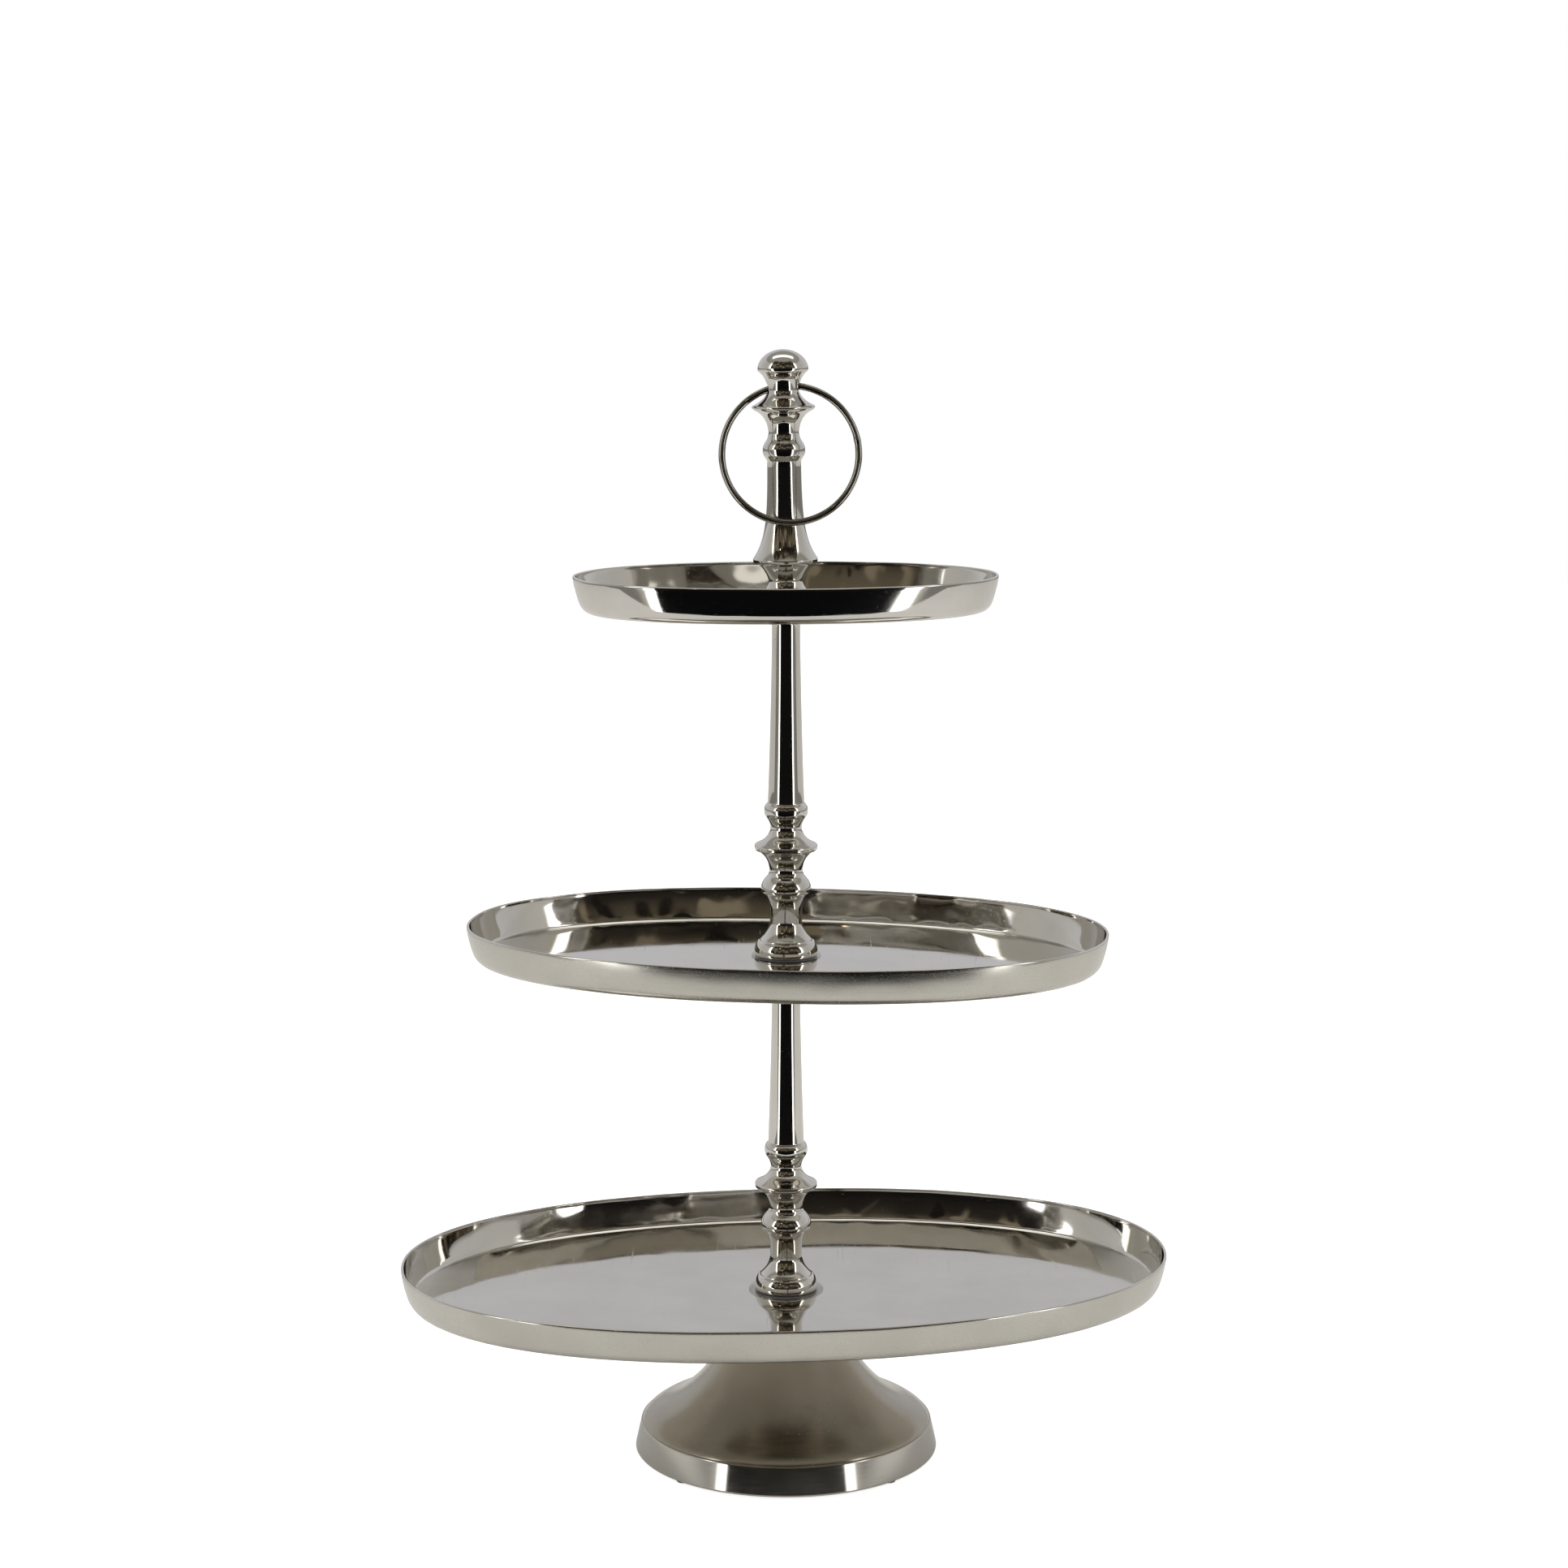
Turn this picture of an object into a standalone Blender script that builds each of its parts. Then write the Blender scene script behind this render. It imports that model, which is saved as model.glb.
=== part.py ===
"""Three-tier oval cake stand of cast, nickel-plated aluminium.

A bell-shaped foot, two turned stems and a turned handle screw together on short studs, and clamp three
oval trays between them. The trays can be turned on the post. A wire ring hangs through the handle's neck.

The origin is on the table under the centre of the foot. +Z is up and -Y is the front.
Dimensions are in millimetres and become metres when a mesh is made.
"""

import math

import bpy
import bmesh
from mathutils import Matrix, Vector

MM = 0.001
GAP = 0.3

# Foot: a hollow bell on four felt pads
PAD_THICKNESS = 1.2
PAD_RADIUS = 4.2
PAD_CIRCLE = 89.5
PAD_COUNT = 4
FOOT_HEIGHT = 98.4
FOOT_RADIUS = 95.3
FOOT_BAND_HEIGHT = 17.5
FOOT_BAND_TOP_RADIUS = 91.6
FOOT_CONE_RADIUS = 90.3
FOOT_TOP_RADIUS = 27.0
FOOT_LAND_RADIUS = 84.0
FOOT_BOSS_UNDERSIDE = 84.0
FOOT_BOSS_RADIUS = 17.0

# M8 studs and the nut and washer that hold the lowest one
STUD_RADIUS = 4.0
STUD_HOLE_RADIUS = 4.4
STUD_REACH = 23.0
STUD_HOLE_DEPTH = 25.0
NUT_ACROSS_FLATS = 13.0
NUT_HEIGHT = 6.5
STUD_BELOW_NUT = 4.0
STEEL_WASHER_RADIUS = 12.0
STEEL_WASHER_THICKNESS = 1.6

# Soft rings above and below each tray
GASKET_THICKNESS = 0.8
CLEAR_WASHER_THICKNESS = 0.5
FOOT_GASKET_RADIUS = 24.0
STEM_GASKET_RADIUS = 9.6
LOWER_CLEAR_WASHER_RADIUS = 23.5
UPPER_CLEAR_WASHER_RADIUS = 21.5

# Turned stems and handle
STEM_LENGTH = 210.4
BASE_RADIUS = 19.7
FLANGE_RADIUS = 19.5
HANDLE_LENGTH = 156.4
KNOB_RADIUS = 15.3
KNOB_DOME_HEIGHT = 12.0
KNOB_EDGE = HANDLE_LENGTH - KNOB_DOME_HEIGHT
HANDLE_DISC_TOP = 30.4
HANDLE_SHAFT_TOP = 89.4
HANDLE_SHAFT_RADIUS = 10.1
HANDLE_BELL_SPREAD = 9.6
HANDLE_BELL_LENGTH = 13.0

# Trays: half length, half width, turn on the post in degrees, rise of the floor's middle over its edge
TRAY_HEIGHT = 22.5
TRAY_THICKNESS = 2.0
TRAY_SQUARENESS = 2.15
TRAY_SEAT_RADIUS = 26.0
TRAYS = {
    "bottom": (241.0, 149.5, 6.4, -1.4),
    "middle": (199.3, 124.0, -7.6, 2.4),
    "top": (129.5, 80.0, 4.0, -1.2),
}

# Ring and the cross hole that it hangs in
RING_RADIUS = 41.2
RING_WIRE_RADIUS = 2.05
RING_SHIFT = 2.6
RING_DROP = 40.2
RING_TILT = 9.9
RING_HOLE_RADIUS = 3.4
RING_HOLE_HEIGHT = 133.6

# Fineness of the faceted solids
TURN_STEPS = 18
FOOT_STEPS = 32
TRAY_POINTS = 48
RING_STEPS = 32
WIRE_STEPS = 8

# Heights of the stack, from the table up
FOOT_BOTTOM = PAD_THICKNESS + GAP
FOOT_TOP = FOOT_BOTTOM + FOOT_HEIGHT
TRAY_OVER_SUPPORT = GASKET_THICKNESS + 2 * GAP
STEM_OVER_TRAY = TRAY_THICKNESS + CLEAR_WASHER_THICKNESS + 2 * GAP
BOTTOM_TRAY_Z = FOOT_TOP + TRAY_OVER_SUPPORT
LOWER_STEM_Z = BOTTOM_TRAY_Z + STEM_OVER_TRAY
MIDDLE_TRAY_Z = LOWER_STEM_Z + STEM_LENGTH + TRAY_OVER_SUPPORT
UPPER_STEM_Z = MIDDLE_TRAY_Z + STEM_OVER_TRAY
TOP_TRAY_Z = UPPER_STEM_Z + STEM_LENGTH + TRAY_OVER_SUPPORT
HANDLE_Z = TOP_TRAY_Z + STEM_OVER_TRAY


def clear_scene():
    for old in list(bpy.data.objects):
        bpy.data.objects.remove(old, do_unlink=True)


def new_collection(name):
    collection = bpy.data.collections.new(name)
    bpy.context.scene.collection.children.link(collection)
    return collection


def make_material(name, colour, metallic, roughness):
    material = bpy.data.materials.new(name)
    material.use_nodes = True
    surface = material.node_tree.nodes["Principled BSDF"]
    surface.inputs["Base Color"].default_value = (*colour, 1.0)
    surface.inputs["Metallic"].default_value = metallic
    surface.inputs["Roughness"].default_value = roughness
    material.diffuse_color = (*colour, 1.0)
    return material


def place(mesh, name, collection, material, height=0.0):
    obj = bpy.data.objects.new(name, mesh)
    obj.location = (0.0, 0.0, height * MM)
    obj.data.materials.append(material)
    collection.objects.link(obj)
    return obj


def mesh_from(shape, name):
    mesh = bpy.data.meshes.new(name)
    shape.to_mesh(mesh)
    shape.free()
    mesh.shade_smooth()
    mesh.set_sharp_from_angle(angle=math.radians(40))
    return mesh


# ---------- outlines of turned pieces ----------

def bend(start, pull, end, steps):
    """Points of a curve from start to end that is drawn towards pull, without its first point."""
    points = []
    for i in range(1, steps + 1):
        t = i / steps
        weights = ((1 - t) ** 2, 2 * t * (1 - t), t * t)
        points.append(tuple(
            weights[0] * a + weights[1] * b + weights[2] * c for a, b, c in zip(start, pull, end)
        ))
    return points


def outline(start, moves, steps=3):
    """A run of (radius, height) points. A move is a point, or (pull, point) for a curved stretch."""
    points = [start]
    for move in moves:
        if isinstance(move[0], tuple):
            points += bend(points[-1], move[0], move[1], steps)
        else:
            points.append(move)
    return points


def turned(name, points, collection, material, height, steps=TURN_STEPS, closed=False):
    """Spin an outline, given down its outer side from top to bottom, about the Z axis."""
    shape = bmesh.new()
    corners = [shape.verts.new((r * MM, 0.0, z * MM)) for r, z in points]
    for first, second in zip(corners, corners[1:]):
        shape.edges.new((first, second))
    if closed:
        shape.edges.new((corners[-1], corners[0]))
    obj = place(mesh_from(shape, name), name, collection, material, height)
    screw = obj.modifiers.new("turning", "SCREW")
    screw.axis = "Z"
    screw.steps = steps
    screw.render_steps = steps
    screw.use_merge_vertices = True
    screw.merge_threshold = 0.00001
    screw.use_smooth_shade = True
    return obj


def flat_ring(name, inner, outer, thickness, collection, material, height):
    corners = [(inner, thickness), (outer, thickness), (outer, 0.0), (inner, 0.0)]
    return turned(name, corners, collection, material, height, closed=True)


def base_moves(step_height):
    """The rounded base that stems and handle stand on, from its step down to its underside."""
    return [
        (16.2, step_height),
        (17.3, step_height - 0.3),
        ((19.3, step_height - 2.4), (BASE_RADIUS, 1.5)),
        (BASE_RADIUS - 0.3, 0.0),
        (STUD_HOLE_RADIUS, 0.0),
        (STUD_HOLE_RADIUS, STUD_HOLE_DEPTH),
        (0.0, STUD_HOLE_DEPTH),
    ]


def stem_outline():
    top = STEM_LENGTH
    shaft = [
        (STUD_HOLE_RADIUS, top - STUD_HOLE_DEPTH),
        (STUD_HOLE_RADIUS, top),
        (10.0, top),
        (10.0, top - 1.0),
        ((8.8, top - 2.6), (8.7, top - 7.0)),
        (8.7, 199.0),
        ((9.3, 147.0), (11.3, 95.2)),
    ]
    upper_bead = [
        ((13.9, 93.2), (13.5, 89.3)),
        ((13.4, 87.6), (12.5, 86.3)),
        (11.9, 85.4),
        ((10.2, 83.0), (9.75, 80.0)),
    ]
    flange = [
        ((10.0, 73.0), (18.6, 69.5)),
        ((19.9, 68.8), (FLANGE_RADIUS, 67.4)),
        ((19.6, 66.0), (18.6, 65.6)),
        ((10.4, 61.8), (10.45, 52.4)),
    ]
    lower_bead = [
        (11.2, 49.8),
        ((15.7, 45.5), (15.7, 41.2)),
        (15.3, 39.3),
        ((9.9, 37.5), (10.0, 28.0)),
        (9.9, 20.9),
    ]
    base = [((11.0, 14.0), (16.0, 9.6)), *base_moves(8.9)]
    return outline((0.0, top - STUD_HOLE_DEPTH), shaft + upper_bead + flange + lower_bead + base)


def knob_dome(steps=5):
    turns = [math.pi / 2 * i / steps for i in range(1, steps + 1)]
    return [(KNOB_RADIUS * math.sin(a), KNOB_EDGE + KNOB_DOME_HEIGHT * math.cos(a)) for a in turns]


def handle_bell(steps=6):
    """The shaft's flare, whose radius grows evenly faster towards the disc."""
    fall = HANDLE_SHAFT_TOP - HANDLE_DISC_TOP
    points = []
    for i in range(steps + 1):
        rise = fall * (1 - i / steps) ** 1.6
        radius = HANDLE_SHAFT_RADIUS + HANDLE_BELL_SPREAD * math.exp(-rise / HANDLE_BELL_LENGTH)
        points.append((radius, HANDLE_DISC_TOP + rise))
    return points


def handle_outline():
    neck = [
        (14.9, KNOB_EDGE - 1.0),
        ((9.9, 139.6), (9.5, 132.4)),
        ((9.8, 127.4), (17.6, 123.2)),
    ]
    flange = [
        ((19.6, 122.6), (18.9, 121.4)),
        (17.9, 120.2),
        ((10.2, 117.0), (9.14, 107.1)),
    ]
    bead = [
        ((9.3, 103.5), (11.1, 101.2)),
        ((12.9, 98.6), (12.8, 95.9)),
        ((12.7, 93.0), (11.6, 91.9)),
        (10.4, 89.9),
    ]
    disc = [
        (19.5, 28.3),
        (17.0, 27.6),
        ((12.6, 24.5), (10.4, 17.6)),
        ((11.2, 12.0), (16.0, 8.6)),
        *base_moves(8.0),
    ]
    moves = knob_dome() + neck + flange + bead + handle_bell() + disc
    return outline((0.0, HANDLE_LENGTH), moves)


def foot_outline():
    outside = outline((STUD_HOLE_RADIUS, FOOT_HEIGHT), [
        (FOOT_TOP_RADIUS - 1.0, FOOT_HEIGHT),
        (FOOT_TOP_RADIUS, FOOT_HEIGHT - 0.8),
        ((46.0, 40.0), (FOOT_CONE_RADIUS, FOOT_BAND_HEIGHT + 1.1)),
        (FOOT_CONE_RADIUS + 0.3, FOOT_BAND_HEIGHT + 0.5),
        (FOOT_BAND_TOP_RADIUS, FOOT_BAND_HEIGHT),
        (FOOT_RADIUS, 0.6),
        (FOOT_RADIUS - 0.5, 0.0),
    ], steps=7)
    inside = outline((FOOT_LAND_RADIUS, 0.0), [
        (FOOT_LAND_RADIUS, 11.0),
        ((46.2, 44.5), (FOOT_BOSS_RADIUS + 0.5, 80.0)),
        (FOOT_BOSS_RADIUS, FOOT_BOSS_UNDERSIDE),
        (STUD_HOLE_RADIUS, FOOT_BOSS_UNDERSIDE),
    ], steps=6)
    return outside + inside


# ---------- trays ----------

def oval(half_length, half_width, angle):
    """A point of the trays' plan shape, an ellipse that is slightly squared."""
    power = 2 / TRAY_SQUARENESS
    c = math.cos(angle)
    s = math.sin(angle)
    x = half_length * math.copysign(abs(c) ** power, c)
    y = half_width * math.copysign(abs(s) ** power, s)
    return x, y


def tray_wall():
    """The wall's outer face as (inset from the rim, height over the floor's edge), from the floor up."""
    corner = bend((12.5, 0.0), (5.0, 0.0), (3.0, 7.8), 4)
    side = bend((3.0, 7.8), (0.6, 15.5), (0.0, TRAY_HEIGHT), 2)
    return [(12.5, 0.0)] + corner + side


def tray_rings(half_length, half_width, rise):
    """Closed rings of points on the tray's underside, from the centre hole out and up to the rim."""
    angles = [2 * math.pi * i / TRAY_POINTS for i in range(TRAY_POINTS)]
    rings = []
    for radius in (STUD_HOLE_RADIUS, TRAY_SEAT_RADIUS):
        rings.append([(radius * math.cos(a), radius * math.sin(a), 0.0) for a in angles])
    inset = tray_wall()[0][0]
    edge = [oval(half_length - inset, half_width - inset, a) for a in angles]
    share = 0.5
    middle = []
    for near, far in zip(rings[-1], edge):
        x = near[0] + (far[0] - near[0]) * share
        y = near[1] + (far[1] - near[1]) * share
        middle.append((x, y, -rise * share ** 2))
    rings.append(middle)
    for inset, height in tray_wall():
        ring = [(*oval(half_length - inset, half_width - inset, a), height - rise) for a in angles]
        rings.append(ring)
    return rings


def tray(which, collection, material, height):
    """An open oval sheet, lofted ring by ring, that Solidify thickens inwards."""
    half_length, half_width, turn, rise = TRAYS[which]
    name = which + "_tray"
    shape = bmesh.new()
    rings = []
    for ring in tray_rings(half_length, half_width, rise):
        corners = [shape.verts.new(Vector(point) * MM) for point in ring]
        rings.append([shape.edges.new((a, b)) for a, b in zip(corners, corners[1:] + corners[:1])])
    for inner, outer in zip(rings, rings[1:]):
        bmesh.ops.bridge_loops(shape, edges=inner + outer)
    bmesh.ops.recalc_face_normals(shape, faces=shape.faces)
    lowest = min(shape.faces, key=lambda face: face.calc_center_median().length)
    if lowest.normal.z > 0:
        bmesh.ops.reverse_faces(shape, faces=shape.faces)
    obj = place(mesh_from(shape, name), name, collection, material, height)
    obj.rotation_euler = (0.0, 0.0, math.radians(turn))
    wall = obj.modifiers.new("wall", "SOLIDIFY")
    wall.thickness = TRAY_THICKNESS * MM
    wall.offset = -1.0
    wall.use_even_offset = True
    return obj


# ---------- fasteners, pads and ring ----------

def cylinder(name, radius, length, sides, collection, material, base):
    """An upright cylinder, or a prism of few sides, that stands on the point base."""
    shape = bmesh.new()
    bmesh.ops.create_cone(
        shape, cap_ends=True, segments=sides, radius1=radius * MM, radius2=radius * MM, depth=length * MM,
    )
    bmesh.ops.translate(shape, verts=shape.verts, vec=(0.0, 0.0, length * MM / 2))
    obj = place(mesh_from(shape, name), name, collection, material)
    obj.location = Vector(base) * MM
    return obj


def cut(obj, cutter):
    cutter.hide_render = True
    cutter.display_type = "WIRE"
    drill = obj.modifiers.new(cutter.name, "BOOLEAN")
    drill.operation = "DIFFERENCE"
    drill.solver = "EXACT"
    drill.object = cutter


def pads(collection, material):
    for i in range(PAD_COUNT):
        angle = 2 * math.pi * (i + 0.5) / PAD_COUNT
        base = (PAD_CIRCLE * math.cos(angle), PAD_CIRCLE * math.sin(angle), 0.0)
        cylinder(f"foot_pad_{i + 1}", PAD_RADIUS, PAD_THICKNESS, 12, collection, material, base)


def foot_fastening(collection, cutters, material):
    """Washer and hex nut inside the foot, under its boss. Returns the height of the nut's underside."""
    boss = FOOT_BOTTOM + FOOT_BOSS_UNDERSIDE
    washer_z = boss - GAP - STEEL_WASHER_THICKNESS
    flat_ring("foot_washer", STUD_HOLE_RADIUS, STEEL_WASHER_RADIUS, STEEL_WASHER_THICKNESS,
              collection, material, washer_z)
    nut_z = washer_z - GAP - NUT_HEIGHT
    nut_radius = NUT_ACROSS_FLATS / 2 / math.cos(math.pi / 6)
    nut = cylinder("foot_nut", nut_radius, NUT_HEIGHT, 6, collection, material, (0.0, 0.0, nut_z))
    bore = cylinder("foot_nut_bore", STUD_HOLE_RADIUS, NUT_HEIGHT + 4.0, TURN_STEPS, cutters, material,
                    (0.0, 0.0, nut_z - 2.0))
    cut(nut, bore)
    return nut_z


def stud(name, bottom, top, collection, material):
    cylinder(name, STUD_RADIUS, top - bottom, 12, collection, material, (0.0, 0.0, bottom))


def handle_with_hole(collection, cutters, material):
    handle = turned("handle", handle_outline(), collection, material, HANDLE_Z)
    reach = 2 * FLANGE_RADIUS
    drill = cylinder("ring_hole_cutter", RING_HOLE_RADIUS, 2 * reach, 16, cutters, material,
                     (-reach, 0.0, HANDLE_Z + RING_HOLE_HEIGHT))
    drill.rotation_euler = (0.0, math.radians(90), 0.0)
    cut(handle, drill)


def hanging_ring(collection, material):
    """A wire ring on an empty at its hinge line. It hangs in front and leans on the handle's shaft."""
    pivot = bpy.data.objects.new("ring_pivot", None)
    pivot.location = (0.0, 0.0, (HANDLE_Z + RING_HOLE_HEIGHT) * MM)
    pivot.rotation_euler = (-math.radians(RING_TILT), 0.0, 0.0)
    collection.objects.link(pivot)
    bpy.ops.mesh.primitive_torus_add(
        major_radius=RING_RADIUS * MM, minor_radius=RING_WIRE_RADIUS * MM,
        major_segments=RING_STEPS, minor_segments=WIRE_STEPS,
    )
    ring = bpy.context.object
    ring.name = "ring"
    ring.data.name = "ring"
    upright = Matrix.Rotation(math.radians(90), 4, "X")
    ring.data.transform(Matrix.Translation((RING_SHIFT * MM, 0.0, -RING_DROP * MM)) @ upright)
    ring.data.materials.append(material)
    ring.data.shade_smooth()
    for holder in list(ring.users_collection):
        holder.objects.unlink(ring)
    collection.objects.link(ring)
    ring.parent = pivot


def build():
    clear_scene()
    stand = new_collection("tiered_cake_stand")
    cutters = new_collection("cutters")
    polished = make_material("polished_nickel_plate", (0.66, 0.64, 0.60), 1.0, 0.08)
    satin = make_material("satin_nickel_plate", (0.60, 0.58, 0.53), 1.0, 0.3)
    steel = make_material("zinc_plated_steel", (0.55, 0.56, 0.58), 1.0, 0.35)
    rubber = make_material("black_rubber", (0.02, 0.02, 0.02), 0.0, 0.6)
    clear = make_material("clear_plastic", (0.9, 0.9, 0.9), 0.0, 0.1)
    felt = make_material("grey_felt", (0.12, 0.12, 0.12), 0.0, 0.95)

    pads(stand, felt)
    turned("foot", foot_outline(), stand, satin, FOOT_BOTTOM, steps=FOOT_STEPS, closed=True)
    nut_z = foot_fastening(stand, cutters, steel)

    stud("foot_stud", nut_z - STUD_BELOW_NUT, LOWER_STEM_Z + STUD_REACH, stand, steel)
    stud("middle_stud", MIDDLE_TRAY_Z - TRAY_OVER_SUPPORT - STUD_REACH, UPPER_STEM_Z + STUD_REACH, stand, steel)
    stud("top_stud", TOP_TRAY_Z - TRAY_OVER_SUPPORT - STUD_REACH, HANDLE_Z + STUD_REACH, stand, steel)

    levels = (
        ("bottom", BOTTOM_TRAY_Z, FOOT_GASKET_RADIUS, LOWER_CLEAR_WASHER_RADIUS),
        ("middle", MIDDLE_TRAY_Z, STEM_GASKET_RADIUS, UPPER_CLEAR_WASHER_RADIUS),
        ("top", TOP_TRAY_Z, STEM_GASKET_RADIUS, UPPER_CLEAR_WASHER_RADIUS),
    )
    for which, tray_z, gasket_radius, washer_radius in levels:
        flat_ring(which + "_gasket", STUD_HOLE_RADIUS, gasket_radius, GASKET_THICKNESS,
                  stand, rubber, tray_z - GAP - GASKET_THICKNESS)
        tray(which, stand, polished, tray_z)
        flat_ring(which + "_clear_washer", STUD_HOLE_RADIUS, washer_radius, CLEAR_WASHER_THICKNESS,
                  stand, clear, tray_z + TRAY_THICKNESS + GAP)

    turned("lower_stem", stem_outline(), stand, polished, LOWER_STEM_Z)
    turned("upper_stem", stem_outline(), stand, polished, UPPER_STEM_Z)
    handle_with_hole(stand, cutters, polished)
    hanging_ring(stand, polished)


build()
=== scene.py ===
"""Looks of a three-tier oval cake stand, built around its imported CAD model.

The foot is a hollow bell of cast aluminium, and two turned stems and a turned handle screw together over it
on short studs. They clamp three oval trays between them, and a wire ring hangs through the handle's neck.
All of the metal that shows is nickel plated. The sections follow the stand as it is put together, from the
table up.

The origin is on the table under the centre of the foot, +Z is up and -Y is the front. Sizes are in
millimetres and angles in degrees, unless a comment says otherwise.
"""

import math

import bmesh
import bpy
from mathutils import Matrix, Vector, noise


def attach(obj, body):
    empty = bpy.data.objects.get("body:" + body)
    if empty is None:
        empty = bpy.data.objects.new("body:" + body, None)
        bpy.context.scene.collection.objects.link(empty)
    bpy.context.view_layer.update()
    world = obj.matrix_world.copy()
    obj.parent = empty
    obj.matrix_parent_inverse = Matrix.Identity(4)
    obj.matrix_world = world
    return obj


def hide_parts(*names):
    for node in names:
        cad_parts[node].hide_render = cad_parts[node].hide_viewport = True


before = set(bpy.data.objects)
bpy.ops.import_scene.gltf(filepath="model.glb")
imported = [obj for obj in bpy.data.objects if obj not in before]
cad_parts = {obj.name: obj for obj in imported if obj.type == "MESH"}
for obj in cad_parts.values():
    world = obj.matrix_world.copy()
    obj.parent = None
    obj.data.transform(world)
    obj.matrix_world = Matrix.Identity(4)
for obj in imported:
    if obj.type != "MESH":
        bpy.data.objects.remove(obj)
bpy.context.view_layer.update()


# ---------- Studio ----------
# A white table top that ends in front of the stand, under a large soft light. White walls with a bright edge
# stand round it, a lit strip and a small warm lamp hang above, and the room behind the camera is unlit. The
# polished metal mirrors all of it, so these shapes make its black bands and white edges.

MM = 0.001
CAMERA_PLACE = (0.0, -2081.8, 774.5)
CAMERA_PITCH = 10.0935
CAMERA_LENS = 78.92
CAMERA_SENSOR = 36.0
CAMERA_SHIFT = (-0.0013, 0.0224)
TABLE_FRONT = -520.0
TABLE_REACH = 5000.0
TABLE_GLOW = 0.20
TABLE_LIFT = 0.64
SOFT_LIGHT_HEIGHT = 2600.0
SOFT_LIGHT_SIZE = 2400.0
SOFT_LIGHT_POWER = 20.0
BACKDROP_COLOUR = "#FFFFFF"

# The dark room by height, from 0 straight down to 1 straight up.
DUSK = [
    (0.40, "#0E0E0F"), (0.53, "#191817"), (0.57, "#2B2723"), (0.61, "#5E5647"), (0.66, "#6B6252"),
    (0.715, "#1E1C1A"), (0.745, "#2E2A25"), (0.775, "#4A443A"), (0.820, "#6A6458"), (0.870, "#8A867D"),
]
FURNITURE_COLOUR = "#857A68"
DOORWAY_COLOUR = "#1D1A18"
# The walls by direction, from 0 at the front to 1 at the back, with how bright each stretch is.
WALLS = [
    (0.252, "#FFFFFF", 4.0), (0.292, "#FFFFFF", 3.0), (0.302, "#CECBC5"), (0.420, "#C6C5C2"),
    (0.700, "#DCDCE0"), (0.920, "#CFCFD3"), (1.000, "#CBCBCE"),
]
SKIRTING_COLOUR = "#8B8A86"
CEILING_COLOUR = "#A4A29D"
STRIP_COLOUR = ("#FFFFFF", 1.8)
LAMP_COLOUR = ("#FFE9C8", 6.0)

SMOOTH = {"interpolation_type": "SMOOTHSTEP"}
BLEND = {"data_type": "RGBA"}

# Where each shape fades in, as the two values between which it does. A rise is in radians over the horizon,
# or in degrees where its name says so. A share is of the noise that stands for clutter, and a wall's or
# skirting's edge is a direction as in WALLS. The strip's are parts of a direction of length 1, and the lamp's
# edge is in degrees from its middle.
CLUTTER_STRETCH = (5.0, 5.0, 2.6)
FURNITURE_SHARE = (0.55, 0.60)
FURNITURE_RISE = (0.10, 0.26)
DOORWAY_SHARE = (0.58, 0.62)
DOORWAY_RISE = (0.0, 0.05)
ALCOVE_SPREAD = 0.08
ALCOVE_RISE = (0.10, 0.16)
WALL_EDGE = (0.248, 0.256)
WALL_TOP_DEGREES = (34, 50)
SKIRTING_EDGE = (0.30, 0.34)
SKIRTING_RISE = (0.01, 0.05)
CEILING_DEGREES = (56, 64)
STRIP_FRONT = (0.02, 0.05)
STRIP_BACK = (0.30, 0.36)
STRIP_HEIGHT = (0.84, 0.87)
LAMP_ASIDE = -26.0
LAMP_RISE = 40.0
LAMP_EDGE = (1.3, 0.9)


def tone(colour, strength=1.0):
    """An sRGB hex colour as linear light, with alpha."""
    channels = []
    for place in (1, 3, 5):
        value = int(colour[place:place + 2], 16) / 255
        value = value / 12.92 if value <= 0.04045 else ((value + 0.055) / 1.055) ** 2.4
        channels.append(value * strength)
    return (*channels, 1.0)


def add_node(tree, kind, inputs=(), stops=(), **settings):
    """A new node with its settings. Inputs are in order or by name, and each is a value, an output, or a node
    whose first output it takes. Stops are the (place, colour) of a colour ramp, or (place, colour, strength).
    """
    made = tree.nodes.new("ShaderNode" + kind)
    for name, value in settings.items():
        setattr(made, name, value)
    for name, value in inputs.items() if isinstance(inputs, dict) else enumerate(inputs):
        if isinstance(value, bpy.types.Node):
            value = value.outputs[0]
        if isinstance(value, bpy.types.NodeSocket):
            tree.links.new(value, made.inputs[name])
        else:
            made.inputs[name].default_value = value
    if stops:
        bar = made.color_ramp.elements
        while len(bar) < len(stops):
            bar.new(1.0)
        for element, (place, *colour) in zip(bar, stops):
            element.position = place
            element.color = tone(*colour)
    return made


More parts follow.
